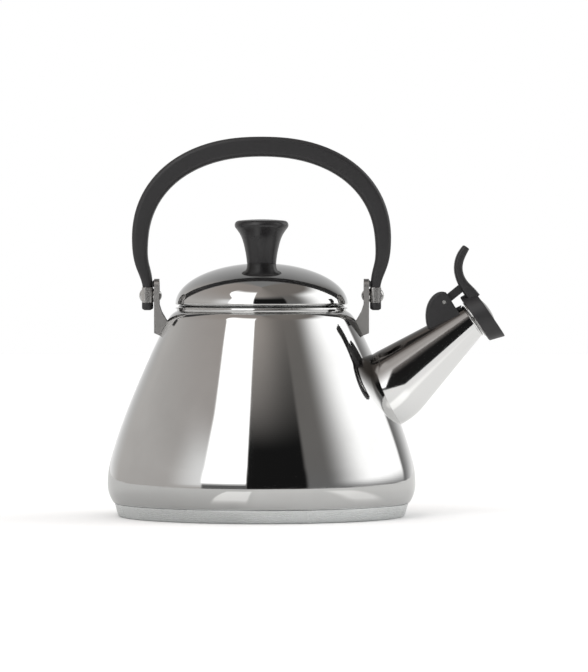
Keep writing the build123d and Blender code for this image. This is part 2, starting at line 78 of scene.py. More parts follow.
class Shader:
    # one material or world: its tree, its shader node, and the ways to fill them
    def __init__(self, name, world=False):
        self.data = bpy.data.worlds.new(name) if world else bpy.data.materials.new(name)
        self.data.use_nodes = True
        self.tree = self.data.node_tree
        self.tree.nodes.clear()
        out = "ShaderNodeOutputWorld" if world else "ShaderNodeOutputMaterial"
        self.out = self.tree.nodes.new(out)

    def node(self, kind, settings=None, **values):
        # settings come first, then socket values or links; the result is the node
        made = self.tree.nodes.new("ShaderNode" + kind)
        for key, value in (settings or {}).items():
            if key == "stops":
                self.fillRamp(made.color_ramp, value)
            else:
                setattr(made, key, value)
        for key, value in values.items():
            names = [s for s in made.inputs if s.enabled and s.name.replace(" ", "") == key]
            socket = names[0] if names else made.inputs[int(key[1:])]
            self.join(value, socket)
        return made

    def join(self, value, socket):
        if isinstance(value, Wire):
            self.tree.links.new(value.socket, socket)
        elif isinstance(value, bpy.types.NodeSocket):
            self.tree.links.new(value, socket)
        elif hasattr(socket.default_value, "__len__") and len(socket.default_value) == 4 and len(value) == 3:
            socket.default_value = (*value, 1.0)
        else:
            socket.default_value = value

    def fillRamp(self, ramp, stops):
        while len(ramp.elements) > len(stops):
            ramp.elements.remove(ramp.elements[-1])
        for i, (at, shade) in enumerate(stops):
            spot = ramp.elements[i] if i < len(ramp.elements) else ramp.elements.new(at)
            spot.position = at
            spot.color = (*shade, 1.0) if hasattr(shade, "__len__") else (shade, shade, shade, 1.0)

    def wire(self, kind, output=0, settings=None, **values):
        return Wire(self.tree, self.node(kind, settings, **values).outputs[output])

    def place(self, scale=(1, 1, 1), turn=(0, 0, 0)):
        # Object coordinates, stretched and turned: metres times scale
        spot = self.wire("TexCoord", "Object")
        return self.wire("Mapping", Vector=spot, Scale=scale, Rotation=turn)

    def axes(self, vector):
        split = self.node("SeparateXYZ", Vector=vector)
        return [Wire(self.tree, s) for s in split.outputs]

    def noise(self, vector, scale, detail=3.0, rough=0.5):
        return self.wire("TexNoise", "Fac", Vector=vector, Scale=scale, Detail=detail, Roughness=rough)

    def smooth(self, wire, low, high):
        # 0 below low, 1 above high, eased between
        return self.wire("MapRange", 0, {"interpolation_type": "SMOOTHSTEP"}, Value=wire, FromMin=low, FromMax=high)

    def blend(self, factor, a, b):
        # colours a and b mixed by factor
        made = self.tree.nodes.new("ShaderNodeMix")
        made.data_type = "RGBA"
        sockets = [s for s in made.inputs if s.enabled]
        for socket, value in zip(sockets, (factor, a, b)):
            self.join(value, socket)
        return Wire(self.tree, [s for s in made.outputs if s.enabled][0])

    def bump(self, height, distance, strength=1.0):
        return self.wire("Bump", 0, Height=height, Distance=distance, Strength=strength)

    def principled(self, **values):
        # spaces are left out of socket names; the shader goes to the output
        made = self.node("BsdfPrincipled", **values)
        self.tree.links.new(made.outputs[0], self.out.inputs[0])
        return self.data


# Surfaces: whole arrays of points, row by row, made into one closed mesh.

def gridMesh(name, points, wrapRows=False, startPole=False, endPole=False, sharp=40):
    # points[row, column] joined into quads; columns always close on themselves.
    # A pole row has all its points in one place and becomes a single vertex.
    points = np.asarray(points, float)
    rows, columns = points.shape[:2]
    ids = np.arange(rows * columns).reshape(rows, columns)
    if startPole:
        ids[0] = ids[0, 0]
    if endPole:
        ids[-1] = ids[-1, 0]
    if wrapRows:
        ids = np.vstack([ids, ids[:1]])
    right = np.roll(ids, -1, axis=1)
    quads = np.stack([ids[:-1], right[:-1], right[1:], ids[1:]], axis=-1).reshape(-1, 4)
    a, b, c, d = (points.reshape(-1, 3)[quads[:, i]] for i in range(4))
    volume = np.einsum("ij,ij->", a, np.cross(b, c)) + np.einsum("ij,ij->", a, np.cross(c, d))
    used = np.unique(quads)
    quads = np.searchsorted(used, quads)
    if volume < 0:
        quads = quads[:, [1, 0, 3, 2]]
    first, last = quads[:, 0] == quads[:, 1], quads[:, 2] == quads[:, 3]
    faces = quads[~first & ~last].tolist() + quads[first][:, 1:].tolist() + quads[last][:, :3].tolist()
    mesh = bpy.data.meshes.new(name)
    mesh.from_pydata((points.reshape(-1, 3)[used] * mm).tolist(), [], faces)
    mesh.shade_smooth()
    mesh.set_sharp_from_angle(angle=math.radians(sharp))
    piece = bpy.data.objects.new(name, mesh)
    bpy.context.scene.collection.objects.link(piece)
    return piece


def circlePath(centre, radius, fromDegrees, toDegrees, count):
    # points on a circle between two angles
    turn = np.radians(np.linspace(fromDegrees, toDegrees, count))
    return np.stack([centre[0] + radius * np.cos(turn), centre[1] + radius * np.sin(turn)], axis=1)


def leavingArc(start, heading, end, count):
    # the one circle that leaves start along heading and passes through end
    start, end, heading = (np.array(v, float) for v in (start, end, heading))
    heading /= np.hypot(*heading)
    across = np.array([-heading[1], heading[0]])
    chord = end - start
    radius = chord @ chord / (2 * across @ chord)
    centre = start + across * radius
    angles = [math.degrees(math.atan2(*(p - centre)[::-1])) for p in (start, end)]
    sweep = (angles[1] - angles[0] + 180) % 360 - 180
    return circlePath(centre, abs(radius), angles[0], angles[0] + sweep, count)


def easedRun(start, startSlope, end, endSlope, count):
    # cubic Hermite curve: position and slope given at both ends
    t = np.linspace(0, 1, count)[:, None]
    start, startSlope, end, endSlope = (np.array(v, float) for v in (start, startSlope, end, endSlope))
    return ((2 * t**3 - 3 * t**2 + 1) * start + (t**3 - 2 * t**2 + t) * startSlope
            + (3 * t**2 - 2 * t**3) * end + (t**3 - t**2) * endSlope)


def chain(*runs):
    # runs joined end to end, with doubled points dropped
    line = np.vstack(runs)
    step = np.hypot(*np.diff(line, axis=0).T)
    return line[np.concatenate([[True], step > 1e-4])]


def leftOf(line):
    # unit vectors to the left of the line's direction
    d = np.gradient(line, axis=0)
    d /= np.hypot(*d.T)[:, None]
    return np.stack([-d[:, 1], d[:, 0]], axis=1)


def sheetLoop(line, thickness):
    # a line given a thickness on its left, with half-round edges at both ends
    side = leftOf(line)
    inner = line + side * thickness
    half = thickness / 2

    def edge(at, normal, along):
        turn = np.radians(np.linspace(0, 180, 9))[1:-1, None]
        return at + half * normal - half * np.cos(turn) * normal + half * np.sin(turn) * along

    def trim(points, near, far):
        keep = (np.hypot(*(points - near).T) > half) & (np.hypot(*(points - far).T) > half)
        return points[keep]

    ahead, behind = np.array([side[-1, 1], -side[-1, 0]]), np.array([-side[0, 1], side[0, 0]])
    endTip, startTip = line[-1] - ahead * half, line[0] - behind * half
    outer, inner = trim(line, line[0], line[-1]), trim(inner, inner[0], inner[-1])
    return chain(outer, edge(endTip, side[-1], ahead), inner[::-1], edge(startTip, side[0], behind)[::-1])


def roundedLine(corners, radii, count=6):
    # an open line whose inner corners become quadratic curves that start radius away
    corners = np.array(corners, float)
    runs = [corners[:1]]
    for before, at, after, radius in zip(corners[:-2], corners[1:-1], corners[2:], radii):
        a = at + (before - at) / np.hypot(*(before - at)) * radius
        b = at + (after - at) / np.hypot(*(after - at)) * radius
        t = np.linspace(0, 1, count)[:, None]
        runs.append((1 - t) ** 2 * a + 2 * t * (1 - t) * at + t**2 * b)
    return chain(*runs, corners[-1:])


def finer(line, longest):
    # the same line with no step longer than longest
    step = np.hypot(*np.diff(line, axis=0).T)
    count = np.maximum(1, np.ceil(step / longest).astype(int))
    at = np.concatenate([np.arange(n) / n for n in count])
    which = np.repeat(np.arange(len(count)), count)
    points = line[which] + (line[which + 1] - line[which]) * at[:, None]
    return np.vstack([points, line[-1:]])


def turned(name, line, columns=256, **ends):
    # a line of (radius, height) carried round the Z axis: x = r cos a, y = r sin a, z = height
    turn = np.linspace(0, 2 * np.pi, columns, endpoint=False)
    r, z = line[:, :1], line[:, 1:]
    points = np.stack([r * np.cos(turn), r * np.sin(turn), z + 0 * turn], axis=-1)
    return gridMesh(name, points, **ends)


# Body: one spun wall from the base seam to the neck.

body = dict(widest=95.0, widestZ=20.0, corner=20.0, seamZ=8.55, lower=(93.25, 34.0), middle=(76.75, 80.6),
            shoulder=(57.6, 121.5), shoulderHeading=(-0.465, 0.885), crease=(52.2, 126.6),
            neckBulge=(52.0, 128.7), neckTop=(50.6, 130.2), sheet=0.8)


def bodyLine():
    # corner circle, tangent circle, two cubic runs with equal curvature where they meet,
    # tangent circle over the shoulder, then the neck's bead
    b = body
    start = -math.degrees(math.asin((b["widestZ"] - b["seamZ"]) / b["corner"]))
    corner = circlePath((b["widest"] - b["corner"], b["widestZ"]), b["corner"], start, 0, 30)
    lower = leavingArc(corner[-1], (0, 1), b["lower"], 24)
    chord = np.array(b["lower"]) - corner[-1]
    heading = 2 * chord[1] * chord / (chord @ chord) - (0, 1)
    p, q, s = (np.array(b[k]) for k in ("lower", "middle", "shoulder"))
    first = heading / np.hypot(*heading) * np.hypot(*(q - p))
    last = np.array(b["shoulderHeading"]) * np.hypot(*(s - q))
    between = (3 * (s - p) - first - last) / 4
    wall = chain(easedRun(p, first, q, between, 40), easedRun(q, between, s, last, 40))
    shoulder = leavingArc(wall[-1], b["shoulderHeading"], b["crease"], 22)
    bead = roundedLine([b["crease"], (b["crease"][0] + 0.25, 127.6), b["neckBulge"], b["neckTop"]], [0.7, 1.0])
    return chain(corner, lower, wall, shoulder, bead)


def makeBody():
    outer = bodyLine()
    piece = turned("kettleBody", sheetLoop(outer, body["sheet"]), wrapRows=True, sharp=50)
    cutStrainer(piece)
    return piece


strainer = dict(middle=(77.6, 77.6), lean=23.0, hole=2.4, pitch=8.0)


def cutStrainer(piece):
    # round holes behind the spout: one, then rings of six and twelve
    s = strainer
    lean = math.radians(s["lean"])
    out = np.array([math.cos(lean), 0, math.sin(lean)])
    up = np.array([-math.sin(lean), 0, math.cos(lean)])
    side = np.array([0, 1.0, 0])
    turn = np.linspace(0, 2 * np.pi, 24, endpoint=False)
    ring = s["hole"] * (np.cos(turn)[:, None] * side + np.sin(turn)[:, None] * up)
    cutters = []
    for count, reach in ((1, 0.0), (6, s["pitch"]), (12, 2 * s["pitch"])):
        for i in range(count):
            a = 2 * math.pi * i / count
            at = np.array([s["middle"][0], 0, s["middle"][1]]) + reach * (math.cos(a) * side + math.sin(a) * up)
            rows = [at - 5 * out + 0 * ring, at - 5 * out + ring, at + 5 * out + ring, at + 5 * out + 0 * ring]
            cutters.append(gridMesh("strainerCutter", rows, startPole=True, endPole=True))
    cutter = joinPieces("strainerCutter", cutters)
    cut = piece.modifiers.new("strainer", "BOOLEAN")
    cut.object, cut.operation, cut.solver = cutter, "DIFFERENCE", "EXACT"
    settle(piece)
    bpy.data.objects.remove(cutter)
    piece.data.set_sharp_from_angle(angle=math.radians(50))


def joinPieces(name, parts):
    # several meshes made into one object
    made = bmesh.new()
    for part in parts:
        made.from_mesh(part.data)
    mesh = bpy.data.meshes.new(name)
    made.to_mesh(mesh)
    made.free()
    for part in parts:
        bpy.data.objects.remove(part)
    mesh.shade_smooth()
    piece = bpy.data.objects.new(name, mesh)
    bpy.context.scene.collection.objects.link(piece)
    return piece


def settle(piece):
    # modifiers applied to the mesh
    bpy.context.view_layer.update()
    baked = bpy.data.meshes.new_from_object(piece.evaluated_get(bpy.context.evaluated_depsgraph_get()))
    piece.modifiers.clear()
    piece.data = baked


# Base: the steel cap under the body, with two stamped rings underneath.

base = dict(foot=88.3, footRound=1.3, top=90.65, topZ=8.15, sheet=0.8, rings=(34.0, 62.0), ringHalf=1.1, ringDeep=0.35)


def makeBase():
    # underside from the middle out, round the foot, up the side, and back inside
    b = base
    r = np.linspace(0, b["foot"] - b["footRound"] - 0.2, 240)
    dip = sum(np.cos(np.clip((r - ring) / b["ringHalf"], -1, 1) * np.pi / 2) ** 2 for ring in b["rings"])
    under = np.stack([r, b["ringDeep"] * dip], axis=1)
    side = roundedLine([under[-1], (b["foot"], 0), (b["top"], b["topZ"]), (b["top"] - 0.8, b["topZ"]),
                        (b["foot"] - 1.0, 0.85), (0, 0.85)], [b["footRound"], 0.25, 0.25, 0.8])
    line = chain(under, finer(side, 1.0))
    return turned("baseCap", line, startPole=True, endPole=True)


# Lid: the top half of an ellipse, with a rolled rim.

lid = dict(halfWidth=53.3, rise=25.7, middleZ=130.3, sheet=0.8, rimRadius=1.1, rimZ=131.5)


def makeLid():
    # ellipse down to the rim, round the bead, and back up inside to the screw hole
    b = lid
    rimR = b["halfWidth"] - 1.15
    t = np.radians(np.linspace(90, 3.6, 130))
    outer = np.stack([b["halfWidth"] * np.cos(t), b["middleZ"] + b["rise"] * np.sin(t)], axis=1)
    outer = np.vstack([[2.2, outer[0, 1]], outer[outer[:, 0] > 2.4]])
    bead = circlePath((rimR, b["rimZ"]), b["rimRadius"], 38, -200, 34)
    innerR, innerRise = b["halfWidth"] - b["sheet"], b["rise"] - b["sheet"]
    inner = np.stack([innerR * np.cos(t), b["middleZ"] + innerRise * np.sin(t)], axis=1)
    inner = inner[(inner[:, 0] > 2.4) & (inner[:, 1] > b["rimZ"] + 1.0)]
    line = chain(outer, bead, inner[::-1], [[2.2, b["middleZ"] + b["rise"] - b["sheet"]]])
    return turned("lidDome", line, wrapRows=True, sharp=45)


# Knob: turned phenolic, seated on the dome and bored for its insert.

knob = dict(top=183.0, crown=0.8, neck=9.0, seatZ=155.7,
            flare=((15.95, 177.6), (13.2, 173.6), (11.5, 169.4), (10.3, 164.6), (9.45, 159.8), (9.0, 155.7)))


def smoothThrough(stations, count):
    # natural cubic spline through every station, equal steps of its own length
    p = np.array(stations, float)
    gap = np.hypot(*np.diff(p[:, :2], axis=0).T)
    at = np.concatenate([[0], np.cumsum(gap)])
    n = len(p)
    system, right = np.eye(n), np.zeros_like(p)
    inside = np.arange(1, n - 1)
    system[inside, inside - 1], system[inside, inside + 1] = gap[:-1], gap[1:]
    system[inside, inside] = 2 * (gap[:-1] + gap[1:])
    slope = np.diff(p, axis=0) / gap[:, None]
    right[1:-1] = 6 * np.diff(slope, axis=0)
    bend = np.linalg.solve(system, right)
    s = np.linspace(0, at[-1], count)
    i = np.clip(np.searchsorted(at, s, side="right") - 1, 0, n - 2)
    h, a = gap[i][:, None], (s - at[i])[:, None]
    b = h - a
    curved = (bend[i] * b**3 + bend[i + 1] * a**3) / (6 * h)
    return curved + (p[i] / h - bend[i] * h / 6) * b + (p[i + 1] / h - bend[i + 1] * h / 6) * a


def makeKnob():
    # bore, seat on the dome, flare, rounded edge and low crown
    k = knob
    bore = roundedLine([(0, 172.0), (4.0, 172.0), (4.0, 156.3), (k["neck"], k["seatZ"])], [0.3, 0.5])
    flare = smoothThrough(k["flare"][::-1], 60)
    edge = easedRun(k["flare"][0], (4.2, 4.6), (14.0, k["top"] - k["crown"]), (-7.5, 0.6), 16)
    x = np.linspace(14.0, 0, 24)
    crown = np.stack([x, k["top"] - k["crown"] * (x / 14.0) ** 2], axis=1)
    return turned("lidKnob", chain(finer(bore, 1.0), flare, edge, crown), 192, startPole=True, endPole=True, sharp=50)


# Spout: a cone that swells into a belly, cut to the body, with a rolled lip.

spout = dict(apex=(169.6, 153.0), rise=39.25, halfAngle=11.55, bellyFrom=108.0, bellyRadius=43.0, wall=0.9,
             mouth=(130.65, 120.9), mouthRise=34.5, lipRadius=0.72)


def spoutRadius(s, inset=0.0):
    # radius against distance back from the apex: a cone, then a circle tangent to it
    k = spout
    a = math.radians(k["halfAngle"])
    cone = s * math.tan(a) - inset / math.cos(a)
    middle = k["bellyFrom"] + k["bellyRadius"] * math.sin(a)
    level = k["bellyFrom"] * math.tan(a) - k["bellyRadius"] * math.cos(a)
    r = k["bellyRadius"] - inset
    belly = level + np.sqrt(np.maximum(r * r - (s - middle) ** 2, 0))
    return np.where(s < k["bellyFrom"] + inset * math.sin(a), cone, belly)


def makeSpout():
    # columns go round the spout's axis; each runs from the mouth's plane to the body's wall
    k = spout
    rise, lean = math.radians(k["rise"]), math.radians(k["mouthRise"])
    out = np.array([math.cos(rise), 0, math.sin(rise)])
    over = np.array([-math.sin(rise), 0, math.cos(rise)])
    apex = np.array([k["apex"][0], 0, k["apex"][1]])
    mouth = np.array([k["mouth"][0], 0, k["mouth"][1]])
    facing = np.array([math.cos(lean), 0, math.sin(lean)])
    turn = np.linspace(0, 2 * np.pi, 192, endpoint=False)
    ray = np.cos(turn)[:, None] * over + np.sin(turn)[:, None] * np.array([0, 1.0, 0])
    wallLine = bodyLine()

    def at(s, offset=0.0):
        return apex - s[:, None] * out + (spoutRadius(s) + offset)[:, None] * ray

    slope = -out + math.tan(math.radians(k["halfAngle"])) * ray
    nearest = (mouth - apex) @ facing / (slope @ facing)

    def reach(offset):
        # halving: the distance at which the column meets the body's wall
        low, high = np.full(len(turn), 70.0), np.full(len(turn), 150.0)
        for _ in range(40):
            middle = (low + high) / 2
            p = at(middle, offset)
            inside = np.hypot(p[:, 0], p[:, 1]) < np.interp(p[:, 2], wallLine[:, 1], wallLine[:, 0])
            low, high = np.where(inside, low, middle), np.where(inside, middle, high)
        return (low + high) / 2

    rows = []
    far = reach(0.0)
    for t in np.linspace(0, 1, 90)[::-1]:  # outside, from the body to the lip
        rows.append(at(nearest + 1.4 + (far - nearest - 1.4) * t))
    r = k["lipRadius"]
    for angle in np.radians(np.linspace(16, 270, 18)):  # rolled lip
        rows.append(at(nearest + r + r * math.cos(angle), np.full(len(turn), -0.2 + r * math.sin(angle))))
    far = reach(-k["wall"])
    for t in np.linspace(0, 1, 50)[1:]:  # inside, back to the body
        rows.append(at(nearest + r + (far - nearest - r) * t, np.full(len(turn), -k["wall"])))
    return gridMesh("spout", rows, wrapRows=True, sharp=50)


# Handle: a bail of rounded section carried along a smooth line over the lid.

bail = dict(outer=(79.2, 64.2, 169.6, 2.25), inner=(70.7, 56.4, 165.3, 2.2), legX=70.3, endZ=127.0,
            ferruleFoot=131.55, neck=(5.9, 12.4), stop=(6.8, 13.4), topWidth=21.0, sideWidth=17.0,
            round=2.9)


def halfOval(turn, across, high, middleZ, power):
    # superellipse: each coordinate is its axis times cosine or sine to the power 2 / power
    c, s = np.cos(turn), np.sin(turn)
    return np.stack([across * np.sign(c) * np.abs(c) ** (2 / power), middleZ + high * s ** (2 / power)], axis=1)


def bailStations():
    # centre x and z, thickness and width, for one side from the end up to the crown
    b = bail
    turn = np.radians([0.6, 9, 19, 30, 42, 54, 66, 78, 90])
    outer, inner = halfOval(turn, *b["outer"]), halfOval(turn, *b["inner"])
    thick = np.hypot(*(outer - inner).T)
    wide = b["sideWidth"] + (b["topWidth"] - b["sideWidth"]) * np.sin(turn)
    curve = np.column_stack([(outer + inner) / 2, thick, wide])
    leg = [(b["legX"], b["endZ"], *b["neck"]), (b["legX"], 134.0, *b["neck"]), (b["legX"], 140.8, *b["neck"]),
           (71.0, 146.5, 6.9, 13.0), (73.8, 156.0, 8.3, 14.6)]
    return np.vstack([leg, curve])


def makeGrip():
    # each row is a rounded rectangle square to the line, shrinking to a point at both ends
    half = bailStations()
    other = half[-2::-1] * (-1, 1, 1, 1)
    line = smoothThrough(np.vstack([half, other]), 420)
    centre, thick, wide = line[:, :2], line[:, 2], line[:, 3]
    inStop = (centre[:, 1] < bail["ferruleFoot"])
    stopThick, stopWide = bail["stop"]
    thick, wide = np.where(inStop, stopThick, thick), np.where(inStop, stopWide, wide)
    side = leftOf(centre)
    fromEnd = np.minimum(np.arange(len(line)), np.arange(len(line))[::-1]) * np.hypot(*(centre[1] - centre[0]))
    soft = 1.5
    shrink = soft - np.sqrt(np.maximum(soft**2 - np.maximum(soft - fromEnd, 0) ** 2, 0))
    section = roundedSection(thick / 2 - shrink, wide / 2 - shrink, bail["round"] - 0.8 * shrink, 20)
    rows = (centre[:, None, :] + section[..., :1] * side[:, None, :])
    points = np.stack([rows[..., 0], section[..., 1], rows[..., 1]], axis=-1)
    ends = [np.repeat(points[i].mean(axis=0)[None, None], points.shape[1], axis=1) for i in (0, -1)]
    return gridMesh("handleBail", np.concatenate([ends[0], points, ends[1]]), startPole=True, endPole=True, sharp=55)


def roundedSection(halfA, halfB, radius, count):
    # per row: a rectangle with circular corners, as [row, point, 2]
    halfA, halfB = np.atleast_1d(halfA)[:, None], np.atleast_1d(halfB)[:, None]
    radius = np.minimum(np.atleast_1d(radius)[:, None], np.minimum(halfA, halfB) - 0.02)
    turn = np.concatenate([np.linspace(0, 90, count) + 90 * q for q in range(4)])
    corner = np.repeat([[1, 1], [-1, 1], [-1, -1], [1, -1]], count, axis=0)
    a = corner[:, 0] * (halfA - radius) + radius * np.cos(np.radians(turn))
    b = corner[:, 1] * (halfB - radius) + radius * np.sin(np.radians(turn))
    return np.stack([a, b], axis=-1)


# Whistle cap: a sheared disc bored for the whistle, and the finger lever that rises from it.

cap = dict(radius=16.1, back=1.05, thick=9.5, rise=16.0, bore=8.5, edge=0.7, innerEdge=0.4)
lever = dict(halfWidth=7.5, round=1.8,
             line=((126.3, 166.0, 4.2), (123.7, 161.9, 5.0), (121.75, 156.9, 5.1), (121.3, 152.6, 5.1),
                   (122.2, 147.8, 5.3), (124.6, 142.9, 6.0), (128.4, 138.1, 7.2), (131.6, 134.2, 7.4)))


def makeCap():
    # a loop of (radius, height) round the mouth's axis, sheared downwards as it goes out
    c = cap
    lean = math.radians(spout["mouthRise"])
    out = np.array([math.cos(lean), 0, math.sin(lean)])
    up = np.array([-math.sin(lean), 0, math.cos(lean)])
    mouth = np.array([spout["mouth"][0], 0, spout["mouth"][1]])
    corners = [(c["bore"], c["thick"] / 2), (c["bore"], c["thick"]), (c["radius"], c["thick"]),
               (c["radius"], 0), (c["bore"], 0), (c["bore"], c["thick"] / 2 - 0.01)]
    loop = roundedLine(corners, [c["innerEdge"], c["edge"], c["edge"], c["innerEdge"]])
    loop = finer(loop, 0.9)
    turn = np.linspace(0, 2 * np.pi, 160, endpoint=False)
    r, h = loop[:, :1], loop[:, 1:]
    shear = math.tan(lean - math.radians(c["rise"])) * h * (r - c["bore"]) / (c["radius"] - c["bore"])
    height, sideways, rise = c["back"] + h + 0 * turn, r * np.sin(turn), r * np.cos(turn) - shear
    points = mouth + height[..., None] * out + rise[..., None] * up + sideways[..., None] * np.array([0, 1.0, 0])
    return gridMesh("capDisc", points, wrapRows=True, sharp=50)


def makeLever():
    # rounded rectangles carried down a smooth line from the tip into the cap
    line = smoothThrough(lever["line"], 120)
    centre, thick = line[:, :2], line[:, 2]
    side = leftOf(centre)
    step = np.hypot(*(centre[1] - centre[0]))
    soft = 0.6
    fromEnd = np.arange(len(line)) * step
    shrink = soft - np.sqrt(np.maximum(soft**2 - np.maximum(soft - fromEnd, 0) ** 2, 0))
    section = roundedSection(thick / 2 - shrink, lever["halfWidth"] - shrink, np.full(len(line), lever["round"]), 12)
    rows = centre[:, None, :] + section[..., :1] * side[:, None, :]
    points = np.stack([rows[..., 0], section[..., 1], rows[..., 1]], axis=-1)
    ends = [np.repeat(points[i].mean(axis=0)[None, None], points.shape[1], axis=1) for i in (0, -1)]
    return gridMesh("capLever", np.concatenate([ends[0], points, ends[1]]), startPole=True, endPole=True, sharp=50)


# The cap's hinge arm and stop block, and the handle's heels: flat outlines given a width across Y.

hinge = dict(at=(112.4, 132.0), heading=39.0, reach=15.5, half=2.5, eye=3.6, bore=1.25, halfWidth=2.7)
stopBlock = dict(corners=((122.6, 135.0), (126.4, 137.0), (129.6, 133.0), (126.5, 131.0)), halfWidth=2.7)
heel = dict(corners=((68.9, 141.2), (66.4, 141.2), (66.4, 145.6), (68.9, 143.2)), halfWidth=4.0)


def softened(piece, width, segments=3):
    # a fine round on every sharp edge
    bevel = piece.modifiers.new("edges", "BEVEL")
    bevel.width, bevel.segments, bevel.limit_method = width * mm, segments, "ANGLE"
    bevel.angle_limit, bevel.harden_normals = math.radians(35), True
    return piece


def acrossY(outline, y):
    return np.column_stack([outline[:, 0], np.full(len(outline), y), outline[:, 1]])


def makeArm():
    # distance from the hinge against angle: the eye's circle, or the nearer of the arm's side and end
    h = hinge
    neck = math.degrees(math.asin(h["half"] / h["eye"]))
    corner = math.degrees(math.atan2(h["half"], h["reach"]))
    side = np.degrees(np.arctan2(h["half"], np.linspace(h["reach"], h["eye"] * math.cos(math.radians(neck)), 12)))
    eye = np.linspace(neck, 360 - neck, 50)[1:]
    swing = np.concatenate([np.linspace(-corner, corner, 7), side[1:], eye, -side[1:-1][::-1]])
    turn = np.radians(swing)
    near = np.minimum(h["reach"] / np.maximum(np.cos(turn), 1e-6), h["half"] / np.maximum(np.abs(np.sin(turn)), 1e-6))
    reach = np.where((swing > neck) & (swing < 360 - neck), h["eye"], near)[:, None]
    ray = np.column_stack([np.cos(turn + math.radians(h["heading"])), np.sin(turn + math.radians(h["heading"]))])
    outer, bore = np.array(h["at"]) + reach * ray, np.array(h["at"]) + h["bore"] * ray
    w = h["halfWidth"]
    rows = [acrossY(bore, -w), acrossY(outer, -w), acrossY(outer, w), acrossY(bore, w)]
    return softened(gridMesh("capArm", rows, wrapRows=True, sharp=30), 0.45)


def makePrism(name, corners, halfWidth, width):
    # a flat outline between two planes of constant Y, closed by a point in the middle of each face
    outline = finer(np.vstack([corners, corners[:1]]), 1.2)[:-1]
    middle = np.repeat(outline.mean(axis=0)[None], len(outline), axis=0)
    w = halfWidth
    rows = [acrossY(line, y) for line, y in ((middle, -w), (outline, -w), (outline, w), (middle, w))]
    return softened(gridMesh(name, rows, startPole=True, endPole=True, sharp=30), width)


# Small pressed and moulded pieces keep their CAD shape, merged, with a fine bevel on every edge.

def bevelledCopy(name, node, width=0.25, segments=2, flat=0.4):
    made = bmesh.new()
    made.from_mesh(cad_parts[node].data)
    bmesh.ops.remove_doubles(made, verts=made.verts, dist=2e-6)
    bmesh.ops.dissolve_limit(made, angle_limit=math.radians(flat), verts=made.verts, edges=made.edges)
    mesh = bpy.data.meshes.new(name)
    made.to_mesh(mesh)
    made.free()
    mesh.shade_smooth()
    mesh.set_sharp_from_angle(angle=math.radians(30))
    piece = bpy.data.objects.new(name, mesh)
    bpy.context.scene.collection.objects.link(piece)
    return softened(piece, width, segments)


def dress(piece, body, slot, material, *nodes):
    # one call per piece: its body, its finish, and the CAD nodes it stands for
    piece.data.materials.clear()
    piece.data.materials.append(material)
    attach(piece, body)
    if nodes:
        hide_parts(*nodes)
    return piece


# Finishes.

mirrorSteel = dict(tint=(0.60, 0.60, 0.595), dull=(0.51, 0.505, 0.50), gloss=0.035, haze=0.075, lines=900.0)


def polishedSteel(name):
    # mirror polish: faint clouds of haze, and very fine lines round the turning axis
    s = Shader(name)
    m = mirrorSteel
    spot = s.place()
    cloud = s.noise(spot, 22, 4.0, 0.55)
    fine = s.noise(spot, 140, 2.0, 0.6)
    wiped = s.smooth(cloud, 0.42, 0.72)
    colour = s.blend(0.35 * wiped + 0.10 * fine, m["tint"], m["dull"])
    haze = m["gloss"] + (m["haze"] - m["gloss"]) * (0.6 * wiped + 0.4 * fine)
    x, y, z = s.axes(spot)
    line = (z * (m["lines"] * fullTurn) + 2.5 * fine).sine()
    grain = s.bump(line * 0.5 + fine, 0.0000012)
    return s.principled(BaseColor=colour, Metallic=1.0, Roughness=haze, Normal=grain)


# Painted light on the spout: under is a painted lighter colour below the axis, over is painted shade above it; gloss
# and haze are roughness.
spoutPaintedLightAndGloss = dict(under=(0.84, 0.84, 0.835), over=(0.165, 0.155, 0.148), fade=(-0.05, 0.50), gloss=0.07, haze=0.15)


def spoutPolishWithPaintedLight(name):
    # polished steel with painted light: the colour is painted lighter below the axis and painted darker above it, only
    # to hold back the left soft box there, not as a real stain
    s = Shader(name)
    m = spoutPaintedLightAndGloss
    spot = s.place()
    x, y, z = s.axes(spot)
    rise = math.radians(spout["rise"])
    fromX, fromZ = x - spout["apex"][0] * mm, z - spout["apex"][1] * mm
    above = fromZ * math.cos(rise) - fromX * math.sin(rise)
    along = (fromX * -math.cos(rise) - fromZ * math.sin(rise)) * math.tan(math.radians(spout["halfAngle"]))
    cloud = s.noise(spot, 30, 4.0, 0.55)
    fine = s.noise(spot, 140, 2.0, 0.6)
    # painted shade above the axis, with a soft noisy edge; the same mask also raises the roughness
    paintedShadeAndHaze = s.smooth(above / along.highest(0.001) + 0.12 * (cloud - 0.5), *m["fade"])
    rough = m["gloss"] + (m["haze"] - m["gloss"]) * (0.6 * paintedShadeAndHaze + 0.4 * fine)
    return s.principled(BaseColor=s.blend(paintedShadeAndHaze, m["under"], m["over"]), Metallic=1.0, Roughness=rough,
                        Normal=s.bump(fine, 0.0000012))


def spunSteel(name, tint=(0.80, 0.815, 0.815), low=0.20, high=0.34, lines=700.0, deep=0.00002):
    # turned or pressed steel: rings round the axis and a soft, uneven sheen
    s = Shader(name)
    spot = s.place()
    x, y, z = s.axes(spot)
    reach = (x * x + y * y).root()
    fine = s.noise(spot, 260, 3.0, 0.6)
    rings = ((reach + z) * (lines * fullTurn) + 3.0 * fine).sine()
    cloud = s.noise(spot, 40, 3.0, 0.5)
    colour = s.blend(0.5 * cloud + 0.06 * rings, tint, tuple(0.86 * t for t in tint))
    rough = low + (high - low) * (0.6 * cloud + 0.25 * fine + 0.15 * rings)
    return s.principled(BaseColor=colour, Metallic=1.0, Roughness=rough, Normal=s.bump(cloud, deep))


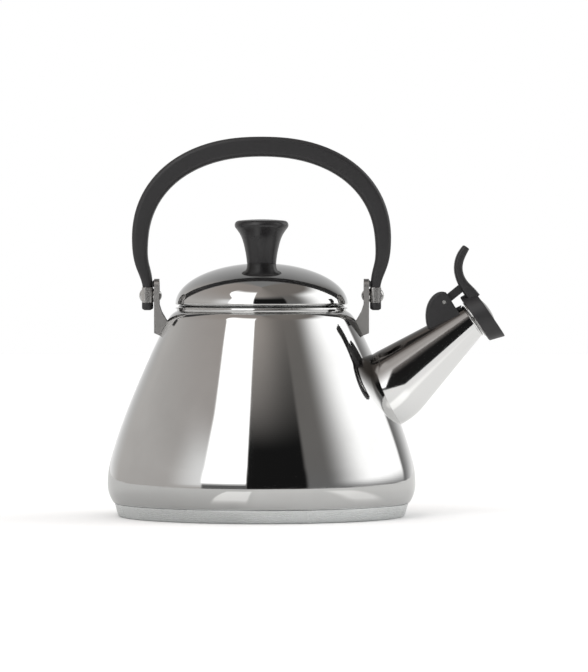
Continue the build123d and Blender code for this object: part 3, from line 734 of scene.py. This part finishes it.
def smallSteel(name, tint=(0.56, 0.555, 0.545), low=0.14, high=0.32):
    # little pressed and turned parts: blotchy sheen, fine scratches, darker random blotches
    s = Shader(name)
    spot = s.place()
    cloud = s.noise(spot, 180, 3.0, 0.55)
    scratch = s.noise(s.place(scale=(600, 4000, 600)), 1.0, 3.0, 0.6)
    colour = s.blend(0.55 * cloud, tint, tuple(0.72 * t for t in tint))
    rough = low + (high - low) * (0.5 * cloud + 0.5 * scratch)
    return s.principled(BaseColor=colour, Metallic=1.0, Roughness=rough, Normal=s.bump(scratch, 0.000006))


phenolic = dict(dark=(0.0125, 0.0120, 0.0130), pale=(0.026, 0.0250, 0.0265), grip=0.42, knob=0.27)


def blackPhenolic(name, dull):
    # moulded heat-resistant plastic: satin, with a fine leathery grain and a few worn, shinier patches
    s = Shader(name)
    spot = s.place()
    cloud = s.noise(spot, 28, 4.0, 0.55)
    grain = s.noise(spot, 1500, 3.0, 0.6)
    specks = s.noise(spot, 420, 2.0, 0.5)
    worn = s.smooth(cloud, 0.5, 0.75)
    colour = s.blend(0.6 * cloud + 0.25 * specks, phenolic["dark"], phenolic["pale"])
    rough = dull + 0.10 * grain - 0.08 * worn
    return s.principled(BaseColor=colour, Roughness=rough, SpecularIORLevel=0.5,
                        Normal=s.bump(grain + 0.5 * specks, 0.000006))


def turnedBrass(name):
    s = Shader(name)
    spot = s.place()
    x, y, z = s.axes(spot)
    fine = s.noise(spot, 400, 3.0, 0.6)
    rings = (z * (1400 * fullTurn) + 2.0 * fine).sine()
    colour = s.blend(fine, (0.80, 0.60, 0.28), (0.62, 0.42, 0.18))
    return s.principled(BaseColor=colour, Metallic=1.0, Roughness=0.22 + 0.2 * fine, Normal=s.bump(rings, 0.00001))


def millAluminium(name):
    s = Shader(name)
    spot = s.place(scale=(1, 30, 30))
    streak = s.noise(spot, 60, 4.0, 0.6)
    colour = s.blend(streak, (0.80, 0.80, 0.81), (0.66, 0.66, 0.68))
    return s.principled(BaseColor=colour, Metallic=1.0, Roughness=0.34 + 0.2 * streak, Normal=s.bump(streak, 0.00001))


# Assembly.

print("kettle: body, base, spout and lid")
bodySteel = polishedSteel("bodySteel")
lidSteel = polishedSteel("lidSteel")
spoutSteel = spoutPolishWithPaintedLight("spoutSteel")
lugSteel = smallSteel("lugSteel", (0.44, 0.43, 0.42), 0.26, 0.42)
bandSteel = smallSteel("bandSteel", (0.55, 0.54, 0.53), 0.12, 0.22)
baseSteel = spunSteel("baseSteel")
fittingSteel = smallSteel("fittingSteel")
springSteel = smallSteel("springSteel", (0.42, 0.42, 0.42), 0.22, 0.4)
gripPlastic = blackPhenolic("gripPlastic", phenolic["grip"])
knobPlastic = blackPhenolic("knobPlastic", phenolic["knob"])
brass = turnedBrass("turnedBrass")
aluminium = millAluminium("millAluminium")

dress(makeBody(), "kettle", "polished_steel", bodySteel, "body_shell")
dress(makeBase(), "kettle", "base_steel", baseSteel, "base_cap")
dress(makeSpout(), "kettle", "polished_steel", spoutSteel, "spout_tube")
dress(makeLid(), "lid", "polished_steel", lidSteel, "lid_shell")
dress(makeKnob(), "lid", "black_phenolic", knobPlastic, "lid_knob")

print("kettle: handle and whistle")
dress(makeGrip(), "handle", "black_phenolic", gripPlastic, "handle_grip")
dress(makeCap(), "whistle", "black_phenolic", gripPlastic, "whistle_cap")
dress(makeLever(), "whistle", "black_phenolic", gripPlastic)
dress(makeArm(), "whistle", "black_phenolic", gripPlastic)
dress(makePrism("capStop", stopBlock["corners"], stopBlock["halfWidth"], 0.4), "whistle", "black_phenolic", gripPlastic)
for side, sign in (("Front", 1), ("Rear", -1)):
    corners = np.array(heel["corners"]) * (sign, 1)
    dress(makePrism("handleHeel" + side, corners, heel["halfWidth"], 0.3), "handle", "black_phenolic", gripPlastic)

print("kettle: brackets, rivets and small fittings")
for side in ("front", "rear"):
    lug = bevelledCopy("lug_" + side + "_look", "lug_" + side, 0.3, 3)
    dress(lug, "kettle", "polished_steel", lugSteel, "lug_" + side)
    band = bevelledCopy("ferrule_" + side + "_look", "ferrule_" + side, 0.35, 3)
    dress(band, "handle", "polished_steel", bandSteel, "ferrule_" + side)
    rivet = bevelledCopy("rivet_" + side + "_look", "pivot_rivet_" + side, 0.15)
    dress(rivet, "handle", "small_steel", fittingSteel, "pivot_rivet_" + side)
housing = bevelledCopy("housing_look", "whistle_housing", 0.3, 3)
dress(housing, "kettle", "black_phenolic", gripPlastic, "whistle_housing")

for node, material in (("bottom_plate", baseSteel), ("heat_spreader", aluminium), ("whistle_mount", fittingSteel),
                       ("housing_screw", fittingSteel), ("whistle_pin", fittingSteel), ("whistle_spring", springSteel),
                       ("whistle_cup", fittingSteel), ("whistle_disc", fittingSteel), ("lid_collar", baseSteel),
                       ("knob_insert", brass), ("knob_washer", fittingSteel), ("knob_screw", fittingSteel),
                       ("pivot_washer_front", fittingSteel), ("pivot_washer_rear", fittingSteel)):
    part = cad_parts[node]
    part.data.materials.clear()
    part.data.materials.append(material)


# Studio: white floor, soft boxes all round, and the camera.

print("kettle: studio")


# Painted light that the steel sees on the floor: a painted grey level, painted darker to the left, and painted pools of
# light, each with left and right bearing, soft edge, and gain.
paintedFloorLight = dict(plain=0.70, leftSide=0.60,
                  pools=((-23, -5, 2, 1.85), (38, 68, 10, 1.50)),
                  near=(0.098, 0.125), far=(0.16, 0.50))


def makeFloor():
    # diffuse white; in reflections the floor's colour is painted greyer, darker to the left, with a painted pool of
    # light under each soft box
    half = 4000.0
    corners = np.array([[-half, -half, 0], [half, -half, 0], [half, half, 0], [-half, half, 0]])
    mesh = bpy.data.meshes.new("studioFloor")
    mesh.from_pydata((corners * mm).tolist(), [], [[0, 1, 2, 3]])
    floor = bpy.data.objects.new("studioFloor", mesh)
    bpy.context.scene.collection.objects.link(floor)
    s = Shader("paleFloor")
    k = paintedFloorLight
    spot = s.place()
    x, y, z = s.axes(spot)
    grain = s.noise(spot, 3, 2.0)
    bright = s.node("BsdfDiffuse", Color=s.blend(grain, (0.90, 0.90, 0.90), (0.93, 0.93, 0.93)))
    bearing = x.math("ARCTAN2", x, y * -1.0) * degreesPerRadian
    reach = (x * x + y * y).root()
    inPool = s.smooth(reach, *k["near"]) * (1.0 - s.smooth(reach, *k["far"]))
    # painted shade and light: the floor's colour in reflections is darker to the left, then brighter in each painted
    # pool of light
    level = k["leftSide"] + (k["plain"] - k["leftSide"]) * s.smooth(bearing, -12, 0)
    for left, right, soft, gain in k["pools"]:
        across = s.smooth(bearing, left, left + soft) * (1.0 - s.smooth(bearing, right - soft, right))
        level = level * (1.0 + (gain - 1.0) * across * inPool)
    seenInSteel = s.node("BsdfDiffuse", Color=s.blend(level, (0, 0, 0), (1.0, 1.005, 1.0)))
    path = s.wire("LightPath", "Is Glossy Ray")
    mixed = s.node("MixShader", i0=path, i1=bright.outputs[0], i2=seenInSteel.outputs[0])
    s.tree.links.new(mixed.outputs[0], s.out.inputs[0])
    mesh.materials.append(s.data)
    return floor


# What the steel sees, by bearing (0 towards the camera, right positive) and elevation, in degrees.
# Each soft box or dark card has its left, right, bottom and top edges, how soft they are, and its brightness.

surroundings = dict(
    leftWall=((0.0, (0.60, 0.58, 0.56)), (0.20, (0.65, 0.63, 0.61)), (0.30, (0.58, 0.56, 0.54)),
              (0.40, (0.53, 0.50, 0.48)), (0.62, (0.46, 0.42, 0.39)), (1.0, (0.38, 0.34, 0.32))),
    rightWall=((0.0, (0.20, 0.20, 0.20)), (0.50, (0.20, 0.19, 0.18)), 
               (0.62, (0.24, 0.22, 0.205)), (1.0, (0.26, 0.24, 0.22))),
    backWall=((0.0, 1.0), (0.06, 0.80), (0.15, 0.60), (0.45, 0.38), (0.60, 0.26), (1.0, 0.30)),
    boxes=(dict(left=50, right=132, bottom=-2, top=42, edges=(44, 5, 10, 16), glow=1.75),
           dict(left=-78, right=-12, bottom=0, top=22, edges=(34, 1, 5, 16), glow=1.10),
           dict(left=-47, right=-11.5, bottom=4.5, top=62, edges=(2.5, 1.2, 2.5, 10), glow=2.0, spread=25),
           dict(left=-46, right=-11.5, bottom=-5, top=3.0, edges=(2, 1.2, 1, 3), glow=0.15),
           dict(left=-11.5, right=33, bottom=-5, top=31, edges=(1.2, 4, 1, 22), glow=0.012)))


def makeWorld():
    # smooth-edged boxes laid one over another on walls that darken upwards; plain white to the camera
    s = Shader("studioSky", world=True)
    k = surroundings
    x, y, z = s.axes(s.wire("TexCoord", "Generated"))
    level = (x * x + y * y).root().highest(0.0001)
    bearing = x.math("ARCTAN2", x, y * -1.0) * degreesPerRadian
    rise = z.math("ARCSINE", z) * degreesPerRadian
    up = (rise / 90.0).clamped()
    walls = [s.wire("ValToRGB", 0, {"stops": k[name]}, Fac=up) for name in ("leftWall", "rightWall", "backWall")]
    shade = s.blend(s.smooth(x / level, -0.25, 0.6), walls[0], walls[1])
    shade = s.blend(s.smooth(y / level, 0.70, 0.97), shade, walls[2])
    for box in k["boxes"]:
        soft = box["edges"]
        leaning = bearing + s.smooth(rise, 36, 66) * box.get("spread", 0)
        beyondRight = s.smooth(bearing, box["right"], box["right"] + soft[1])
        across = s.smooth(leaning, box["left"], box["left"] + soft[0]) * (1.0 - beyondRight)
        beyondTop = s.smooth(rise, box["top"], box["top"] + soft[3])
        over = s.smooth(rise, box["bottom"], box["bottom"] + soft[2]) * (1.0 - beyondTop)
        shade = s.blend(across * over, shade, (box["glow"],) * 3)
    pattern = s.node("Background", Color=shade, Strength=1.0)
    plain = s.node("Background", Color=(1, 1, 1), Strength=1.0)
    seen = s.wire("LightPath", "Is Camera Ray")
    mixed = s.node("MixShader", i0=seen, i1=pattern.outputs[0], i2=plain.outputs[0])
    s.tree.links.new(mixed.outputs[0], s.out.inputs[0])
    bpy.context.scene.world = s.data


overhead = dict(strength=1.9, spread=118, lean=(-8, 4, 0))


def makeOverhead():
    # a very wide, even light from above, kept out of the steel
    light = bpy.data.lights.new("overheadLight", "SUN")
    light.energy, light.angle = overhead["strength"], math.radians(overhead["spread"])
    lamp = bpy.data.objects.new("overheadLight", light)
    lamp.rotation_euler = [math.radians(turn) for turn in overhead["lean"]]
    lamp.visible_glossy = False
    bpy.context.scene.collection.objects.link(lamp)


camera = dict(position=(0.020, -3.0, 0.173), target=(0.020, 0.0, 0.111), lens=260.5)


def makeCamera():
    data = bpy.data.cameras.new("productCamera")
    data.lens, data.sensor_width, data.clip_end = camera["lens"], 36.0, 50.0
    eye = bpy.data.objects.new("productCamera", data)
    eye.location = camera["position"]
    eye.rotation_mode = "QUATERNION"
    eye.rotation_quaternion = (Vector(camera["target"]) - Vector(camera["position"])).to_track_quat("-Z", "Y")
    bpy.context.scene.collection.objects.link(eye)
    bpy.context.scene.camera = eye


makeFloor()
makeWorld()
makeOverhead()
makeCamera()
bpy.context.scene.view_settings.view_transform = "Standard"
